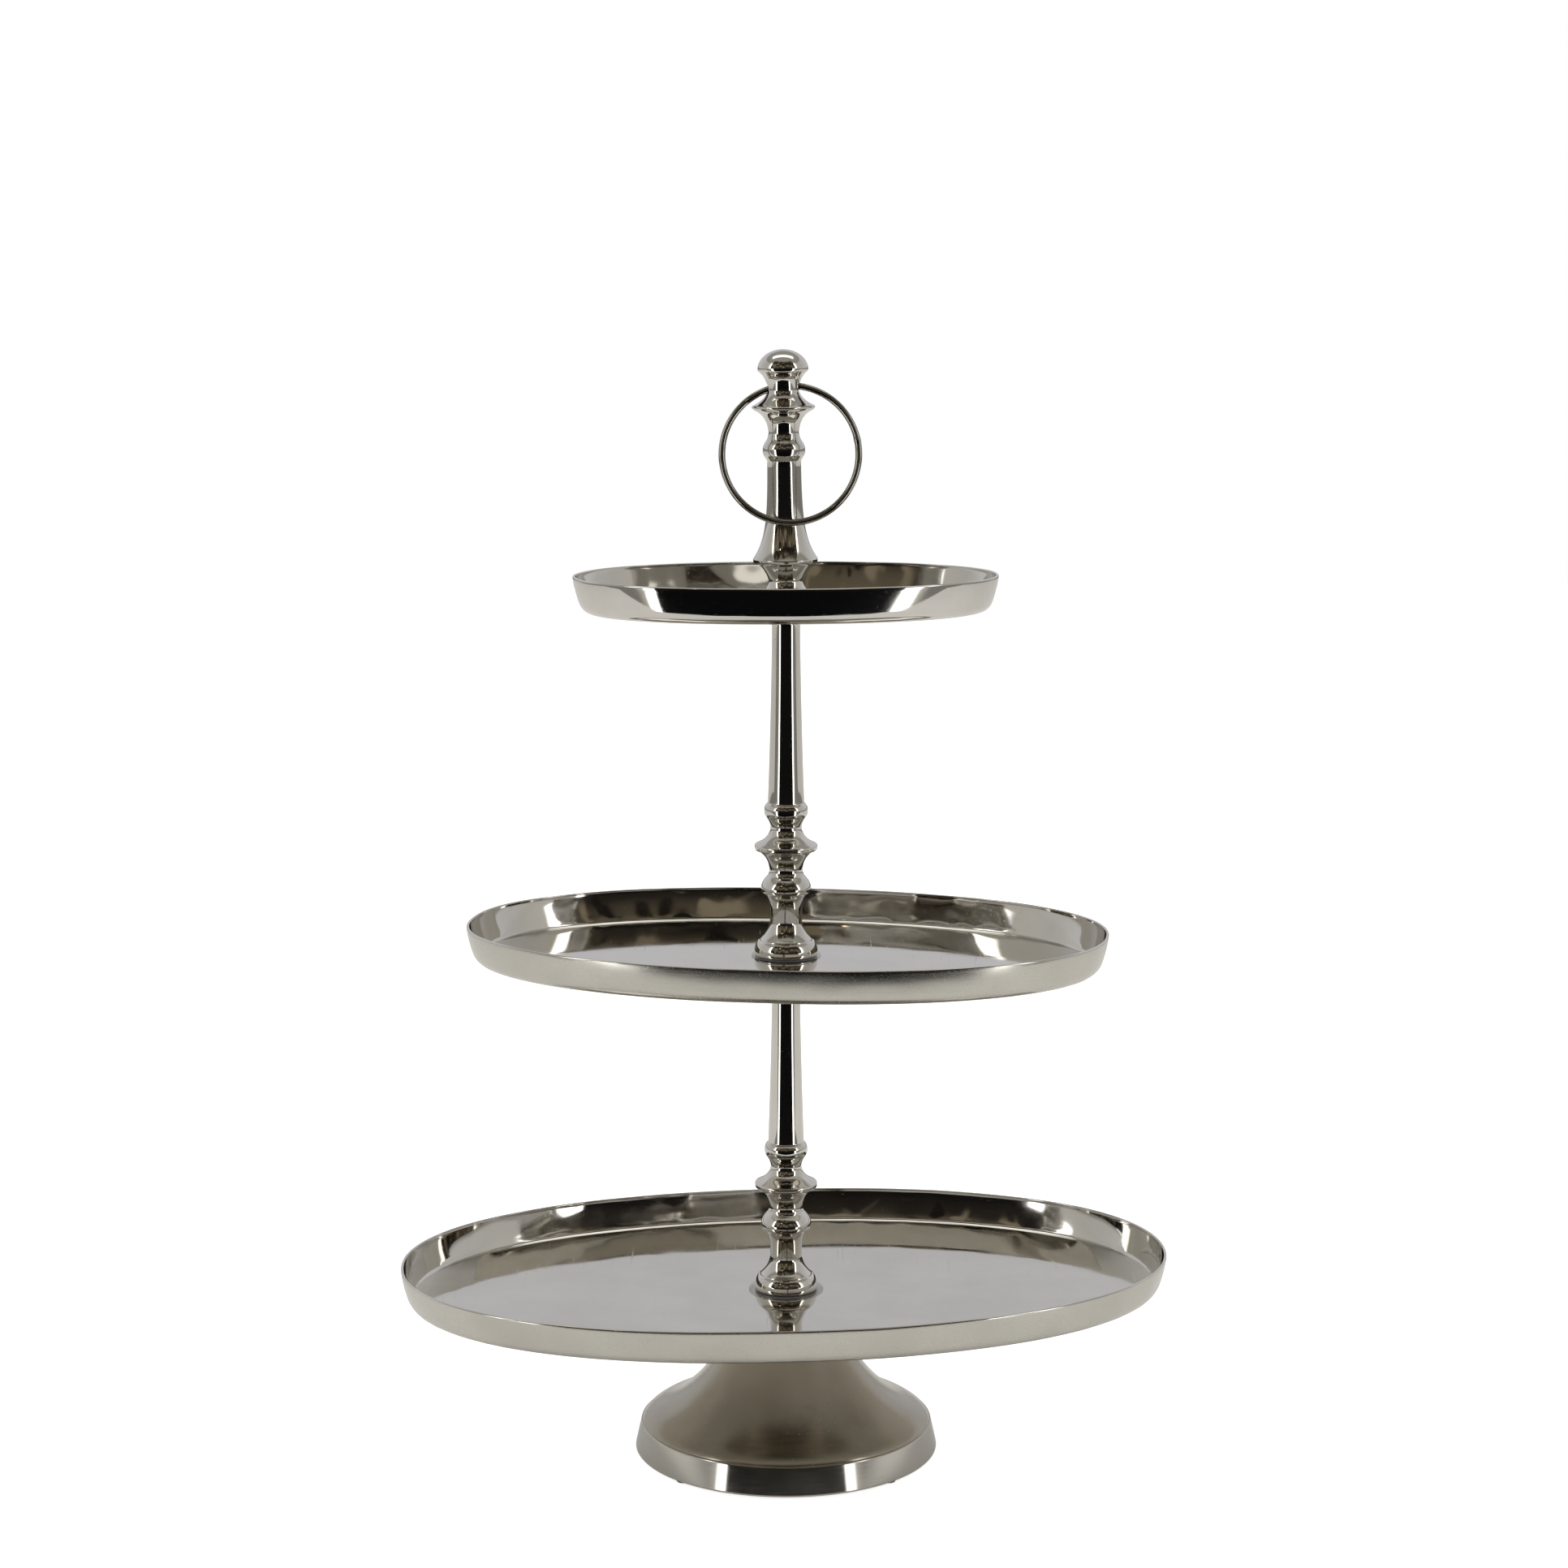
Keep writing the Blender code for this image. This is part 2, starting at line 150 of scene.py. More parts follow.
def studio_world():
    """What the metal mirrors, by direction. The camera itself sees a plain backdrop."""
    world = bpy.data.worlds.new("studio")
    world.use_nodes = True
    tree = world.node_tree
    tree.nodes.clear()

    towards = add_node(tree, "TexCoord").outputs["Generated"]
    x, y, z = add_node(tree, "SeparateXYZ", [towards]).outputs
    back = add_node(tree, "Math", [y, -1.0], operation="MULTIPLY")
    turn = add_node(tree, "Math", [x, back], operation="ARCTAN2")
    half_turn = add_node(tree, "Math", [turn], operation="ABSOLUTE")
    aside = add_node(tree, "Math", [half_turn, math.pi], operation="DIVIDE")
    rise = add_node(tree, "Math", [z], operation="ARCSINE")
    level = add_node(tree, "Math", [rise, math.pi], operation="DIVIDE")
    height = add_node(tree, "Math", [level, 0.5], operation="ADD")

    # The dark room, with vague furniture and a doorway in it.
    dusk = add_node(tree, "ValToRGB", [height], DUSK)
    tall = add_node(tree, "Mapping", {"Vector": towards, "Scale": CLUTTER_STRETCH})
    clutter = add_node(tree, "TexNoise", {"Vector": tall, "Scale": 1.0, "Detail": 2.0})
    furniture = add_node(tree, "Math", [
        add_node(tree, "MapRange", [clutter, *FURNITURE_SHARE], **SMOOTH),
        add_node(tree, "MapRange", [rise, *FURNITURE_RISE], **SMOOTH),
    ], operation="MULTIPLY")
    gaps = add_node(tree, "Math", [1.0, clutter], operation="SUBTRACT")
    doorway = add_node(tree, "Math", [
        add_node(tree, "MapRange", [gaps, *DOORWAY_SHARE], **SMOOTH),
        add_node(tree, "MapRange", [rise, *DOORWAY_RISE], **SMOOTH),
    ], operation="MULTIPLY")
    room = add_node(tree, "Mix", {0: furniture, 6: dusk, 7: tone(FURNITURE_COLOUR)}, **BLEND).outputs[2]
    room = add_node(tree, "Mix", {0: doorway, 6: room, 7: tone(DOORWAY_COLOUR)}, **BLEND).outputs[2]

    # The walls, over a darker skirting. Above the table the dark opening between them is wider.
    alcove = add_node(tree, "MapRange", [rise, *ALCOVE_RISE], **SMOOTH)
    spread = add_node(tree, "Math", [alcove, ALCOVE_SPREAD], operation="MULTIPLY")
    along = add_node(tree, "Math", [aside, spread], operation="SUBTRACT")
    walls = add_node(tree, "ValToRGB", [along], WALLS)
    over_skirting = add_node(tree, "MapRange", [rise, *SKIRTING_RISE], **SMOOTH)
    skirting = add_node(tree, "Math", [
        add_node(tree, "MapRange", [aside, *SKIRTING_EDGE], **SMOOTH),
        add_node(tree, "Math", [1.0, over_skirting], operation="SUBTRACT"),
    ], operation="MULTIPLY")
    walls = add_node(tree, "Mix", {0: skirting, 6: walls, 7: tone(SKIRTING_COLOUR)}, **BLEND).outputs[2]
    beside = add_node(tree, "MapRange", [along, *WALL_EDGE], **SMOOTH)
    over_walls = add_node(tree, "MapRange", [rise, *map(math.radians, WALL_TOP_DEGREES)], **SMOOTH)
    below_top = add_node(tree, "Math", [1.0, over_walls], operation="SUBTRACT")
    on_walls = add_node(tree, "Math", [beside, below_top], operation="MULTIPLY")
    seen = add_node(tree, "Mix", {0: on_walls, 6: room, 7: walls}, **BLEND).outputs[2]

    # The ceiling over both, with the lit strip in it, and the small warm lamp.
    over_room = add_node(tree, "MapRange", [rise, *map(math.radians, CEILING_DEGREES)], **SMOOTH)
    over_beside = add_node(tree, "Math", [beside, over_walls], operation="MULTIPLY")
    upper = add_node(tree, "Math", [over_room, over_beside], operation="MAXIMUM")
    seen = add_node(tree, "Mix", {0: upper, 6: seen, 7: tone(CEILING_COLOUR)}, **BLEND).outputs[2]
    past_strip = add_node(tree, "MapRange", [y, *STRIP_BACK], **SMOOTH)
    strip_depth = add_node(tree, "Math", [
        add_node(tree, "MapRange", [y, *STRIP_FRONT], **SMOOTH),
        add_node(tree, "Math", [1.0, past_strip], operation="SUBTRACT"),
    ], operation="MULTIPLY")
    overhead = add_node(tree, "MapRange", [z, *STRIP_HEIGHT], **SMOOTH)
    strip = add_node(tree, "Math", [strip_depth, overhead], operation="MULTIPLY")
    seen = add_node(tree, "Mix", {0: strip, 6: seen, 7: tone(*STRIP_COLOUR)}, **BLEND).outputs[2]
    climb = math.radians(LAMP_RISE)
    swing = Matrix.Rotation(math.radians(LAMP_ASIDE), 3, "Z")
    lamp_place = swing @ Vector((0.0, -math.cos(climb), math.sin(climb)))
    nearness = add_node(tree, "VectorMath", [towards, lamp_place], operation="DOT_PRODUCT").outputs["Value"]
    lamp_edge = [math.cos(math.radians(angle)) for angle in LAMP_EDGE]
    lamp = add_node(tree, "MapRange", [nearness, *lamp_edge], **SMOOTH)
    seen = add_node(tree, "Mix", {0: lamp, 6: seen, 7: tone(*LAMP_COLOUR)}, **BLEND).outputs[2]

    studio = add_node(tree, "Background", [seen, 1.0])
    plain = add_node(tree, "Background", [tone(BACKDROP_COLOUR), 1.0])
    from_camera = add_node(tree, "LightPath").outputs["Is Camera Ray"]
    both = add_node(tree, "MixShader", [from_camera, studio, plain])
    add_node(tree, "OutputWorld", [both])
    return world


def table_top():
    """A wide, flat sheet whose front edge is square to the camera."""
    shape = bmesh.new()
    bmesh.ops.create_grid(shape, x_segments=1, y_segments=1, size=TABLE_REACH * MM)
    for corner in shape.verts:
        corner.co.y = max(corner.co.y, TABLE_FRONT * MM)
    mesh = bpy.data.meshes.new("table_top")
    shape.to_mesh(mesh)
    shape.free()
    table = bpy.data.objects.new("table_top", mesh)
    bpy.context.scene.collection.objects.link(table)
    # White laminate: matt and almost even. It glows a little, to be as white as the backdrop behind it.
    material = bpy.data.materials.new("white_laminate")
    material.use_nodes = True
    tree = material.node_tree
    tree.nodes.clear()
    place = add_node(tree, "TexCoord").outputs["Object"]
    cloud = add_node(tree, "TexNoise", {"Vector": place, "Scale": 3.0, "Detail": 2.0})
    white = add_node(tree, "ValToRGB", [cloud], [(0.3, "#E9E8E6"), (0.7, "#EEEDEB")])
    matt = add_node(tree, "BsdfDiffuse", [white])
    from_camera = add_node(tree, "LightPath").outputs["Is Camera Ray"]
    strength = add_node(tree, "Math", [from_camera, TABLE_LIFT, TABLE_GLOW], operation="MULTIPLY_ADD")
    lift = add_node(tree, "Emission", [tone("#FFFFFF"), strength])
    total = add_node(tree, "AddShader", [matt, lift])
    add_node(tree, "OutputMaterial", [total])
    mesh.materials.append(material)


def soft_light():
    """A large soft light overhead. It lights the table, and the metal doesn't mirror it."""
    light = bpy.data.lights.new("soft_light", "AREA")
    light.size = SOFT_LIGHT_SIZE * MM
    light.energy = SOFT_LIGHT_POWER
    lamp = bpy.data.objects.new("soft_light", light)
    lamp.location = (0.0, 0.0, SOFT_LIGHT_HEIGHT * MM)
    lamp.visible_glossy = False
    lamp.visible_camera = False
    bpy.context.scene.collection.objects.link(lamp)


def studio_camera():
    """A long lens in front of the stand, a little above it and tipped down."""
    camera = bpy.data.objects.new("camera", bpy.data.cameras.new("camera"))
    bpy.context.scene.collection.objects.link(camera)
    camera.location = Vector(CAMERA_PLACE) * MM
    camera.rotation_euler = (math.radians(90 - CAMERA_PITCH), 0.0, 0.0)
    camera.data.lens = CAMERA_LENS
    camera.data.sensor_width = CAMERA_SENSOR
    camera.data.shift_x, camera.data.shift_y = CAMERA_SHIFT
    bpy.context.scene.camera = camera


bpy.context.scene.world = studio_world()
bpy.context.scene.view_settings.view_transform = "Standard"
table_top()
soft_light()
studio_camera()


# ---------- Foot ----------
# A hollow bell, sand cast in aluminium, turned on a lathe and brushed, then nickel plated. Its cone runs down
# to a crease, and below that a low band flares out to the table.

POST_GAP = 0.3
FOOT_BOTTOM = 1.5
FOOT_HEIGHT = 98.4
FOOT_TOP = FOOT_BOTTOM + FOOT_HEIGHT
FOOT_RADIUS = 95.3
BAND_HEIGHT = 17.5
BAND_TOP_RADIUS = 91.6
CONE_RADIUS = 90.3
BOSS_UNDERSIDE = 84.0
STUD_HOLE = 4.4
SHARP_CORNER = 30
PATCHES_PER_METRE = 22.0
DULL_SHARE = (0.38, 0.62)
LINE_STRETCH = (0.03, 0.03, 1.0)
HAIRS_PER_METRE = 900.0
HAIR_SHARE = (0.70, 0.76)
HAIR_STRETCH = (1.0, 0.02, 1.0)
SCRATCH_LEANS = (0.5, 1.9)
SCRATCH_TIP = 0.3


def bend(start, pull, end, steps):
    """Points of a curve from start to end that is drawn towards pull, without its first point."""
    points = []
    for i in range(1, steps + 1):
        t = i / steps
        weights = ((1 - t) ** 2, 2 * t * (1 - t), t * t)
        points.append(tuple(sum(w * p for w, p in zip(weights, place)) for place in zip(start, pull, end)))
    return points


def outline(start, moves, steps=10):
    """A run of (radius, height) points. A move is a point, or (pull, point) for a curved stretch."""
    points = [start]
    for move in moves:
        if isinstance(move[0], tuple):
            points += bend(points[-1], move[0], move[1], steps)
        else:
            points.append(move)
    return points


def shift_points(points, height):
    """The same outline, raised by height."""
    return [(r, z + height) for r, z in points]


def finish_piece(shape, name, body, nodes, materials, crease=35):
    """Makes the object of a shape, puts it on the body it rides on, and hides the CAD nodes that it stands
    for.
    """
    mesh = bpy.data.meshes.new(name)
    shape.to_mesh(mesh)
    shape.free()
    mesh.shade_smooth()
    mesh.set_sharp_from_angle(angle=math.radians(crease))
    for material in materials:
        mesh.materials.append(material)
    piece = bpy.data.objects.new(name, mesh)
    bpy.context.scene.collection.objects.link(piece)
    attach(piece, body)
    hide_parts(*nodes)
    return piece


def turn_shape(points, steps=128, closed=False, edge=0.25):
    """A lathe-turned shape, whose outline's sharp corners are broken by a small round of the size edge."""
    shape = bmesh.new()
    corners = [shape.verts.new((r * MM, 0.0, z * MM)) for r, z in points]
    ends = corners[1:] + corners[:1] if closed else corners[1:]
    for first, second in zip(corners, ends):
        shape.edges.new((first, second))
    sharp = []
    for corner in corners:
        if len(corner.link_edges) == 2:
            arms = [arm.other_vert(corner).co - corner.co for arm in corner.link_edges]
            if arms[0].angle(-arms[1]) > math.radians(SHARP_CORNER):
                sharp.append(corner)
    if edge and sharp:
        bmesh.ops.bevel(shape, geom=sharp, offset=edge * MM, affect="VERTICES", segments=3, profile=0.5,
                        material=-1, clamp_overlap=True)
    bmesh.ops.spin(shape, geom=shape.verts[:] + shape.edges[:], cent=(0, 0, 0), axis=(0, 0, 1),
                   angle=2 * math.pi, steps=steps, use_merge=True)
    bmesh.ops.remove_doubles(shape, verts=shape.verts, dist=0.01 * MM)
    bmesh.ops.recalc_face_normals(shape, faces=shape.faces)
    return shape


def new_material(name, values):
    """A material with these values on its shader's own sockets, with those sockets and Object coordinates."""
    material = bpy.data.materials.new(name)
    material.use_nodes = True
    surface = material.node_tree.nodes["Principled BSDF"].inputs
    for socket, value in values.items():
        surface[socket].default_value = value
    place = add_node(material.node_tree, "TexCoord").outputs["Object"]
    return material, surface, place


def metal(name, colours, roughness, wobble=(0.10, 30.0), brushing=0.0, anisotropy=0.0, scratches=0.12):
    """Nickel plate. Wobble is the depth and the width of the waves that polishing leaves, and brushing is the
    spacing of the fine lines round the piece. Roughness varies between its two values, in patches about 45 mm
    wide and from line to line. Scratches is what hairlines add to it. They are drawn about 1 mm wide, because
    real ones are too fine to show.
    """
    material, surface, place = new_material(name, {
        "Metallic": 1.0, "Anisotropic": anisotropy, "Anisotropic Rotation": 0.25,
    })
    tree = material.node_tree
    patches = add_node(tree, "TexNoise", {"Vector": place, "Scale": PATCHES_PER_METRE, "Detail": 5.0})
    colour = add_node(tree, "ValToRGB", [patches], [(0.35, colours[0]), (0.65, colours[1])])
    tree.links.new(colour.outputs[0], surface["Base Color"])
    depth, width = wobble
    waves = add_node(tree, "TexNoise", {"Vector": place, "Scale": 1 / (width * MM), "Detail": 1.0})
    bumps = add_node(tree, "Bump", {"Height": waves, "Distance": depth * MM})
    tree.links.new(bumps.outputs[0], surface["Normal"])
    dullness = patches
    if brushing:
        around = add_node(tree, "Mapping", {"Vector": place, "Scale": LINE_STRETCH})
        lines = add_node(tree, "TexNoise", {
            "Vector": around, "Scale": 1 / (brushing * MM), "Detail": 4.0, "Roughness": 0.7,
        })
        both = add_node(tree, "Math", [patches, lines], operation="ADD")
        dullness = add_node(tree, "Math", [both, 0.5], operation="MULTIPLY")
    spread = add_node(tree, "MapRange", [dullness, *DULL_SHARE, *roughness])
    for lean in SCRATCH_LEANS:
        drawn = add_node(tree, "Mapping", {
            "Vector": place, "Rotation": (lean, SCRATCH_TIP, lean), "Scale": HAIR_STRETCH,
        })
        hairs = add_node(tree, "TexNoise", {"Vector": drawn, "Scale": HAIRS_PER_METRE, "Detail": 1.0})
        thin = add_node(tree, "MapRange", [hairs, *HAIR_SHARE], **SMOOTH)
        marks = add_node(tree, "Math", [thin, scratches], operation="MULTIPLY")
        spread = add_node(tree, "Math", [spread, marks], operation="ADD")
    tree.links.new(spread.outputs[0], surface["Roughness"])
    if anisotropy:
        tangent = add_node(tree, "Tangent", direction_type="RADIAL", axis="Z")
        tree.links.new(tangent.outputs[0], surface["Tangent"])
    return material


# Nickel over brushed aluminium. Its highlights stretch up and down, across the lines. Its colour is painted
# shade: darkened and browned for the shaded tray underside that the cone mirrors under the bottom tray.
satin_nickel_painted_shade = metal("brushed_nickel_plate", ("#9B9486", "#A59F92"), (0.20, 0.26), wobble=(0.02, 60.0),
                     brushing=0.9, anisotropy=0.74, scratches=0.03)
# The band was polished after brushing, so it mirrors sharply along its length and still smears up and down.
band_nickel = metal("polished_brushed_nickel_plate", ("#BBB8B0", "#C6C3BB"), (0.09, 0.13),
                    wobble=(0.02, 60.0), brushing=0.9, anisotropy=0.6, scratches=0.06)

foot_points = outline((STUD_HOLE, FOOT_HEIGHT), [
    (26.0, FOOT_HEIGHT),
    (27.0, FOOT_HEIGHT - 0.8),
    ((46.0, 41.0), (80.0, 25.3)),
    ((88.3, 21.5), (CONE_RADIUS, BAND_HEIGHT + 1.0)),
    (CONE_RADIUS + 0.3, BAND_HEIGHT + 0.4),
    (BAND_TOP_RADIUS, BAND_HEIGHT),
    (BAND_TOP_RADIUS + 0.15, BAND_HEIGHT - 0.7),
    (FOOT_RADIUS - 0.15, 1.3),
    (FOOT_RADIUS, 0.6),
    (FOOT_RADIUS - 0.5, 0.0),
], steps=28) + outline((84.0, 0.0), [
    (84.0, 11.0),
    ((46.2, 44.5), (17.5, 80.0)),
    (17.0, BOSS_UNDERSIDE),
    (STUD_HOLE, BOSS_UNDERSIDE),
], steps=16)
foot_shape = turn_shape(shift_points(foot_points, FOOT_BOTTOM), steps=160, closed=True)
for face in foot_shape.faces:
    middle = face.calc_center_median() / MM
    on_band = middle.z < FOOT_BOTTOM + BAND_HEIGHT and math.hypot(middle.x, middle.y) > BAND_TOP_RADIUS - 1.0
    face.material_index = int(on_band)
finish_piece(foot_shape, "bell_foot", "post", ["foot"],
             [satin_nickel_painted_shade, band_nickel], crease=25)


# ---------- Felt pads ----------
# Four discs of grey pressed felt, 8.4 mm across, stuck under the foot's rim so that it doesn't scratch the
# table.

PAD_THICKNESS = 1.2
PAD_RADIUS = 4.2
PAD_CIRCLE = 89.5
PAD_COUNT = 4
FIBRE_CLUMP = 0.4


def felt():
    """Pressed wool felt: matt grey with short, matted fibres that catch a little light at grazing angles."""
    material, surface, place = new_material("pressed_wool_felt", {"Roughness": 0.95, "Sheen Weight": 0.4})
    tree = material.node_tree
    fibres = add_node(tree, "TexNoise", {"Vector": place, "Scale": 1 / (FIBRE_CLUMP * MM), "Detail": 4.0})
    colour = add_node(tree, "ValToRGB", [fibres], [(0.3, "#3C3C3E"), (0.7, "#66666A")])
    tree.links.new(colour.outputs[0], surface["Base Color"])
    fuzz = add_node(tree, "Bump", {"Height": fibres, "Distance": 0.2 * MM})
    tree.links.new(fuzz.outputs[0], surface["Normal"])
    return material


felt_grey = felt()
for i in range(PAD_COUNT):
    angle = (i + 0.5) * 2 * math.pi / PAD_COUNT
    pad = bmesh.new()
    bmesh.ops.create_cone(pad, cap_ends=True, segments=48, radius1=PAD_RADIUS * MM,
                          radius2=PAD_RADIUS * MM, depth=PAD_THICKNESS * MM)
    rims = [e for e in pad.edges if len(e.link_faces) == 2 and e.calc_face_angle() > 1.0]
    bmesh.ops.bevel(pad, geom=rims, offset=0.3 * MM, affect="EDGES", segments=3, profile=0.5, material=-1)
    stuck = Vector((PAD_CIRCLE * math.cos(angle), PAD_CIRCLE * math.sin(angle), PAD_THICKNESS / 2))
    bmesh.ops.translate(pad, verts=pad.verts, vec=stuck * MM)
    finish_piece(pad, f"felt_pad_{i + 1}", "post", [f"foot_pad_{i + 1}"], [felt_grey])


# ---------- Washer, nut and studs ----------
# Zinc-plated M8 hardware. A washer and a nut inside the foot's boss hold the lowest stud, and two more studs
# join the stems and the handle through the trays.

WASHER_THICKNESS = 1.6
WASHER_RADIUS = 12.0
NUT_HEIGHT = 6.5
NUT_ACROSS_FLATS = 13.0
NUT_CHAMFER = 0.9
NUT_FACE_SHARE = 0.96
NUT_ARC_SHARE = 0.9
SPANGLE_WIDTH = 2.5
STUD_RADIUS = 4.0
THREAD_PITCH = 1.25
THREAD_DEPTH = 0.6
STUD_REACH = 23.0
STUD_BELOW_NUT = 4.0
STEM_LENGTH = 210.4
GASKET_THICKNESS = 0.8
CLEAR_THICKNESS = 0.5
TRAY_THICKNESS = 2.0
TRAY_LIFT = GASKET_THICKNESS + 2 * POST_GAP
STEM_LIFT = TRAY_THICKNESS + CLEAR_THICKNESS + 2 * POST_GAP
BOTTOM_TRAY_Z = FOOT_TOP + TRAY_LIFT
LOWER_STEM_Z = BOTTOM_TRAY_Z + STEM_LIFT
MIDDLE_TRAY_Z = LOWER_STEM_Z + STEM_LENGTH + TRAY_LIFT
UPPER_STEM_Z = MIDDLE_TRAY_Z + STEM_LIFT
TOP_TRAY_Z = UPPER_STEM_Z + STEM_LENGTH + TRAY_LIFT
HANDLE_Z = TOP_TRAY_Z + STEM_LIFT


def zinc():
    """Bright zinc plate on steel: bluish grey, with the plating bath's faint mottling and a soft shine."""
    material, surface, place = new_material("bright_zinc_plate", {"Metallic": 1.0})
    tree = material.node_tree
    spangle = add_node(tree, "TexNoise", {"Vector": place, "Scale": 1 / (SPANGLE_WIDTH * MM), "Detail": 3.0})
    colour = add_node(tree, "ValToRGB", [spangle], [(0.35, "#B4B8BE"), (0.65, "#CCCFD3")])
    tree.links.new(colour.outputs[0], surface["Base Color"])
    dull = add_node(tree, "MapRange", {"Value": spangle, "To Min": 0.25, "To Max": 0.45})
    tree.links.new(dull.outputs[0], surface["Roughness"])
    return material


def ring_points(inner, outer, bottom, top):
    """The outline of a flat ring, closed."""
    return [(inner, top), (outer, top), (outer, bottom), (inner, bottom)]


def hex_nut(bottom):
    """A turned blank pressed to a hexagon. Its ends are chamfered, so they meet the flats in six low arcs."""
    flat = NUT_ACROSS_FLATS / 2
    tip = flat / math.cos(math.pi / 6)
    face = flat * NUT_FACE_SHARE
    top = bottom + NUT_HEIGHT
    shape = turn_shape([
        (STUD_HOLE, top),
        (face, top),
        (tip, top - NUT_CHAMFER),
        (tip, bottom + NUT_CHAMFER),
        (face, bottom),
        (STUD_HOLE, bottom),
    ], steps=72, closed=True, edge=0)
    for corner in shape.verts:
        radius = math.hypot(corner.co.x, corner.co.y) / MM
        if radius > face + 0.1:
            angle = math.atan2(corner.co.y, corner.co.x)
            reach = flat / math.cos((angle + math.pi / 6) % (math.pi / 3) - math.pi / 6)
            shrink = reach / radius
            rise = NUT_CHAMFER * (tip - reach) / (tip - flat) * NUT_ARC_SHARE * MM
            middle = (bottom + NUT_HEIGHT / 2) * MM
            corner.co.x *= shrink
            corner.co.y *= shrink
            corner.co.z += math.copysign(rise, corner.co.z - middle)
    return shape


def thread_points(bottom, top):
    """A stud's outline with its thread drawn as turned rings: its slope of 1 in 20 is too slight to see."""
    turns = int((top - bottom - 2.0) / THREAD_PITCH)
    points = [(0.0, top), (STUD_RADIUS - THREAD_DEPTH, top)]
    for i in range(turns):
        crest = top - 1.0 - i * THREAD_PITCH
        points += [(STUD_RADIUS, crest), (STUD_RADIUS - THREAD_DEPTH, crest - THREAD_PITCH / 2)]
    return points + [(STUD_RADIUS - THREAD_DEPTH, bottom), (0.0, bottom)]


zinc_plate = zinc()
washer_z = FOOT_BOTTOM + BOSS_UNDERSIDE - POST_GAP - WASHER_THICKNESS
nut_z = washer_z - POST_GAP - NUT_HEIGHT
washer_points = ring_points(STUD_HOLE, WASHER_RADIUS, washer_z, washer_z + WASHER_THICKNESS)
washer = turn_shape(washer_points, 64, closed=True)
finish_piece(washer, "steel_washer", "post", ["foot_washer"], [zinc_plate])
finish_piece(hex_nut(nut_z), "hex_nut", "post", ["foot_nut"], [zinc_plate], crease=20)
STUD_ENDS = {
    "foot_stud": (nut_z - STUD_BELOW_NUT, LOWER_STEM_Z + STUD_REACH),
    "middle_stud": (MIDDLE_TRAY_Z - TRAY_LIFT - STUD_REACH, UPPER_STEM_Z + STUD_REACH),
    "top_stud": (TOP_TRAY_Z - TRAY_LIFT - STUD_REACH, HANDLE_Z + STUD_REACH),
}
for node, (low, high) in STUD_ENDS.items():
    stud = turn_shape(thread_points(low, high), 32, edge=0)
    finish_piece(stud, "threaded_" + node, "post", [node], [zinc_plate], crease=20)


# ---------- Rubber gaskets ----------
# Punched rings of black rubber between each tray's underside and the foot or stem below it. They grip the
# tray, and keep metal off metal.

FOOT_GASKET_RADIUS = 24.0
STEM_GASKET_RADIUS = 9.6
RUBBER_GRAINS_PER_METRE = 1200.0


def rubber():
    """Black sheet rubber: nearly matt, with the faint grain of the roller and chalky dust in it."""
    material, surface, place = new_material("black_sheet_rubber", {"Roughness": 0.62})
    tree = material.node_tree
    grain = add_node(tree, "TexNoise", {"Vector": place, "Scale": RUBBER_GRAINS_PER_METRE, "Detail": 5.0})
    colour = add_node(tree, "ValToRGB", [grain], [(0.4, "#151515"), (0.75, "#2A2A29")])
    tree.links.new(colour.outputs[0], surface["Base Color"])
    rough = add_node(tree, "Bump", {"Height": grain, "Distance": 0.05 * MM})
    tree.links.new(rough.outputs[0], surface["Normal"])
    return material


black_rubber = rubber()
TRAY_LEVELS = {"bottom": BOTTOM_TRAY_Z, "middle": MIDDLE_TRAY_Z, "top": TOP_TRAY_Z}
for which, tray_z in TRAY_LEVELS.items():
    radius = FOOT_GASKET_RADIUS if which == "bottom" else STEM_GASKET_RADIUS
    top = tray_z - POST_GAP
    gasket_points = ring_points(STUD_HOLE, radius, top - GASKET_THICKNESS, top)
    gasket = turn_shape(gasket_points, 96, closed=True, edge=0.15)
    finish_piece(gasket, which + "_rubber_gasket", "post", [which + "_gasket"],
                 [black_rubber])


# ---------- Trays ----------
# Shallow oval trays, cast in aluminium with a wall of 2 mm, ground and polished by hand and nickel plated.
# They are mirror bright and a little wavy, but the outer walls of the two larger ones are left satin.

TRAY_HEIGHT = 22.5
TRAY_SQUARENESS = 2.15
TRAY_SEAT_RADIUS = 26.0
TRAY_POINTS = 384
WALL_INSET = 12.5
FIRM_INSET = 8.0
BOW_DEPTH = 0.3
BOW_PACE = 2.5
RIM_PACE = 2.0
RIM_SEED = 90.0
DENT_DEPTH = 0.15
DENT_WIDTH = 18.0
DENT_STRETCH = 0.8
RIPPLE_DEPTH = 0.35
RIPPLE_WIDTH = 9.0
RIPPLE_INSET = 7.2
RIPPLE_REACH = 1.8
SEED_STEP = 7.0
# Each tray's half length, half width, turn on the post, and the rise of its floor's middle over its edge.
TRAYS = {
    "bottom": (241.0, 149.5, 6.4, -1.4),
    "middle": (199.3, 124.0, -7.6, 2.4),
    "top": (129.5, 80.0, 4.0, -1.2),
}

# Nickel over polished aluminium: a nearly clean mirror, warm grey, softened by a little polishing haze.
mirror_nickel = metal("mirror_nickel_plate", ("#CAC7C0", "#D2CFC8"), (0.04, 0.08), wobble=(0.10, 26.0))
# The same plate over a surface that was only rubbed down: reflections blur into a pale, silky sheen.
rubbed_nickel = metal("rubbed_nickel_plate", ("#BEBBB2", "#C7C4BB"), (0.20, 0.28), brushing=0.8)


def oval(half_length, half_width, angle):
    """A point of the trays' plan shape, an ellipse that is slightly squared."""
    power = 2 / TRAY_SQUARENESS
    c, s = math.cos(angle), math.sin(angle)
    x = half_length * math.copysign(abs(c) ** power, c)
    y = half_width * math.copysign(abs(s) ** power, s)
    return x, y


